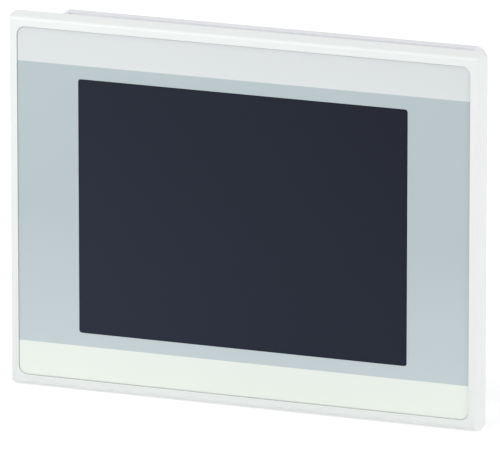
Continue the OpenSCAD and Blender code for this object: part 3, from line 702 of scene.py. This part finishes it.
def make_floor():
    """A white floor that touches the object's lowest point and glows a little."""
    mesh = bpy.data.meshes.new("floor")
    z = cad_bounds[0].z
    corners = [(x * FLOOR_REACH, y * FLOOR_REACH, z)
               for x, y in ((-1, -1), (1, -1), (1, 1), (-1, 1))]
    mesh.from_pydata(corners, [], [(0, 1, 2, 3)])
    floor = bpy.data.objects.new("floor", mesh)
    bpy.context.scene.collection.objects.link(floor)
    m = Material("floor", roughness=0.9, specular=0.1)
    m.colour(m.ramp(m.noise(3.0), (0.70, 0.70, 0.70), (0.72, 0.72, 0.72)))
    m.set("Emission Color", (1.0, 1.0, 1.0, 1.0))
    m.set("Emission Strength", FLOOR_GLOW)
    mesh.materials.append(m.mat)


def make_lamp(name, place, size, power):
    """A round, soft lamp that the camera doesn't see."""
    light = bpy.data.lights.new(name, "AREA")
    light.shape = "DISK"
    light.size = size
    light.energy = power
    obj = bpy.data.objects.new(name, light)
    bpy.context.scene.collection.objects.link(obj)
    obj.location = place
    obj.rotation_euler = (-Vector(place)).to_track_quat("-Z", "Y").to_euler()
    obj.visible_camera = False


def make_world():
    """A white room, equally bright all round."""
    world = bpy.data.worlds.new("studio")
    bpy.context.scene.world = world
    world.use_nodes = True
    sky = world.node_tree.nodes["Background"]
    sky.inputs["Color"].default_value = (1.0, 1.0, 1.0, 1.0)
    sky.inputs["Strength"].default_value = WORLD_BRIGHTNESS


# ---------- details ----------


def usb_details():
    """Contacts on the tongues of both USB ports, and the springs of their shells."""
    low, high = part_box("usb_host_shell")
    z = (low.z + high.z) / 2
    tongue_y = low.y + 4.7 * MM
    front_x = high.x - 0.8 * MM
    contacts = bmesh.new()
    for offset in (-3.5, -1.0, 1.0, 3.5):
        leaf(contacts, (front_x - 0.6 * MM, tongue_y, z + offset * MM), (-8.5 * MM, 0, 0),
             (0, 1, 0), 0.22 * MM, 1.1 * MM)
    springs = bmesh.new()
    for offset in (-3.4, 3.4):
        leaf(springs, (high.x - 1.0 * MM, high.y - 0.4 * MM, z + offset * MM),
             (-7.5 * MM, 0, 0), (0, -1, 0), 0.35 * MM, 2.0 * MM)
        leaf(springs, (high.x - 1.0 * MM, low.y + 0.4 * MM, z + offset * MM),
             (-8.5 * MM, 0, 0), (0, 1, 0), 0.8 * MM, 2.0 * MM)

    low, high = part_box("usb_device_shell")
    x = (low.x + high.x) / 2
    for offset in (-1.25, 1.25):
        for y, up in ((low.y + 3.8 * MM, -1), (low.y + 7.0 * MM, 1)):
            leaf(contacts, (x + offset * MM, y, low.z + 1.7 * MM), (0, 0, 8.5 * MM),
                 (0, up, 0), 0.22 * MM, 1.0 * MM)
    for side in (-1, 1):
        leaf(springs, (x + side * 4.4 * MM, low.y + 5.4 * MM, low.z + 0.8 * MM),
             (0, 0, 7.5 * MM), (-side, 0, 0), 0.5 * MM, 2.4 * MM)
    add_piece("usb_contacts", contacts, "gold_contact")
    add_piece("usb_springs", springs, "port_shell")


def jack_details():
    """The network jack's two indicator windows and the springs on its inner walls."""
    low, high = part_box("ethernet_jack")
    x = (low.x + high.x) / 2
    face = low.z - 0.1 * MM
    for name, side, colour in (("jack_light_green", -1, (0.20, 0.52, 0.22)),
                               ("jack_light_amber", 1, (0.72, 0.46, 0.12))):
        window = bmesh.new()
        outline = rounded(2.6 * MM, 1.8 * MM, 0.3 * MM)
        prism(window, [(x + side * 5.9 * MM + u, low.y + 11.7 * MM + v, face)
                       for u, v in outline], (0, 0, 0.5 * MM))
        add_piece(name, window, "guide_acrylic", material=jack_light(name, colour),
                  bevel=0.05 * MM)
    springs = bmesh.new()
    for side in (-1, 1):
        for depth in (4.2, 7.6):
            leaf(springs, (x + side * 6.0 * MM, low.y + depth * MM, low.z + 0.6 * MM),
                 (0, 0, 6.0 * MM), (-side, 0, 0), 0.35 * MM, 1.6 * MM)
    add_piece("jack_springs", springs, "port_shell")


def card_details():
    """Gold pads, label and finger ridges of the memory card."""
    low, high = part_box("memory_card")
    z = (low.z + high.z) / 2
    pads = bmesh.new()
    for i in range(8):
        pad(pads, low.x + 4.2 * MM, z + (i - 3.5) * 2.5 * MM, low.y - 0.04 * MM,
            3.4 * MM, 1.7 * MM, 0.3 * MM, 0.1 * MM)
    add_piece("card_pads", pads, "gold_contact", body="memory_card")
    label = bmesh.new()
    pad(label, low.x + 14.5 * MM, z, high.y - 0.05 * MM, 19 * MM, 20 * MM, 1 * MM, 0.1 * MM)
    add_piece("card_label", label, "label_film", body="memory_card", material=card_label())
    ridges = bmesh.new()
    for i in range(4):
        pad(ridges, high.x - (1.0 + 1.1 * i) * MM, z, high.y - 0.1 * MM,
            0.5 * MM, 14 * MM, 0.2 * MM, 0.25 * MM)
    add_piece("card_ridges", ridges, "card_plastic", body="memory_card", bevel=0.06 * MM)


def plug_details():
    """Finger ribs on both ends of the power plug."""
    low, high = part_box("power_plug")
    ribs = bmesh.new()
    for x, side in ((low.x, -1), (high.x, 1)):
        for i in range(4):
            z = low.z + (0.9 + 1.1 * i) * MM
            outline = rounded(5.6 * MM, 0.55 * MM, 0.2 * MM)
            prism(ribs, [(x - side * 0.1 * MM, (low.y + high.y) / 2 + u, z + v)
                         for u, v in outline], (side * 0.35 * MM, 0, 0))
    add_piece("plug_ribs", ribs, "plug_green", body="power_plug", bevel=0.08 * MM)


def row(x, z, count, step_x=0.0, step_z=0.0):
    """Evenly spaced spots on the board, from places and steps in millimetres."""
    return [((x + i * step_x) * MM, (z + i * step_z) * MM) for i in range(count)]


def board_details():
    """Chip resistors, ceramic and tantalum capacitors on the board's rear face, and the coil
    in the inductor."""
    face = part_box("main_board")[1].y
    resistors = row(-18, -11, 7, step_x=3.4) + row(-18, -14.5, 7, step_x=3.4)
    resistors += row(-28, 35, 10, step_x=3.4)
    ceramics = row(-31, -18, 6, step_z=2.2) + row(-32, 0, 7, step_z=2.5)
    ceramics += row(28, -2, 9, step_z=2.5) + row(31.5, -2, 9, step_z=2.5)
    tantalums = row(-16, -18.4, 4, step_x=5.2)
    resistor_bodies, ceramic_bodies, tantalum_bodies = bmesh.new(), bmesh.new(), bmesh.new()
    ends = bmesh.new()
    sunk = 0.05 * MM
    for spots, body, length, width, height in (
        (resistors, resistor_bodies, 2.0, 1.2, 0.5),
        (ceramics, ceramic_bodies, 1.6, 0.8, 0.8),
        (tantalums, tantalum_bodies, 3.4, 2.7, 1.8),
    ):
        for x, z in spots:
            pad(body, x, z, face - sunk, length * 0.72 * MM, width * MM, 0.05 * MM,
                height * MM + sunk)
            for side in (-1, 1):
                pad(ends, x + side * length * 0.42 * MM, z, face - sunk,
                    length * 0.16 * MM, (width + 0.04) * MM, 0.05 * MM,
                    (height + 0.02) * MM + sunk)
    add_piece("board_resistors", resistor_bodies, "chip_black", bevel=0.05 * MM)
    add_piece("board_ceramics", ceramic_bodies, "ivory_plastic", bevel=0.06 * MM)
    add_piece("board_tantalums", tantalum_bodies, "ivory_plastic", bevel=0.15 * MM,
              material=moulded("tantalum_yellow", (0.62, 0.42, 0.10), 0.4, cloud=0.06))
    add_piece("board_part_ends", ends, "tin_pin", bevel=0.04 * MM)

    low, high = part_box("power_inductor")
    middle = (low + high) / 2
    coil = bmesh.new()
    for radius in (3.8, 3.2, 2.6, 2.0):
        wire_ring(coil, (middle.x, high.y - 0.55 * MM, middle.z), radius * MM, 0.29 * MM)
    add_piece("inductor_coil", coil, "brass_part",
              material=metal("coil_copper", (0.72, 0.32, 0.14), 0.3, (1.0, 0.1, 1.0), 2000.0))


# ---------- build ----------

make_camera()
make_floor()
make_world()
for lamp in LAMPS:
    make_lamp(*lamp)
bpy.context.scene.view_settings.view_transform = "Standard"

materials = make_materials()
for part in frame["record"]["subparts"]:
    paint(part["node"], materials[part["material_slot"]])

for name, width in EDGE_ROUNDING.items():
    soften(name, width)

usb_details()
jack_details()
card_details()
plug_details()
board_details()
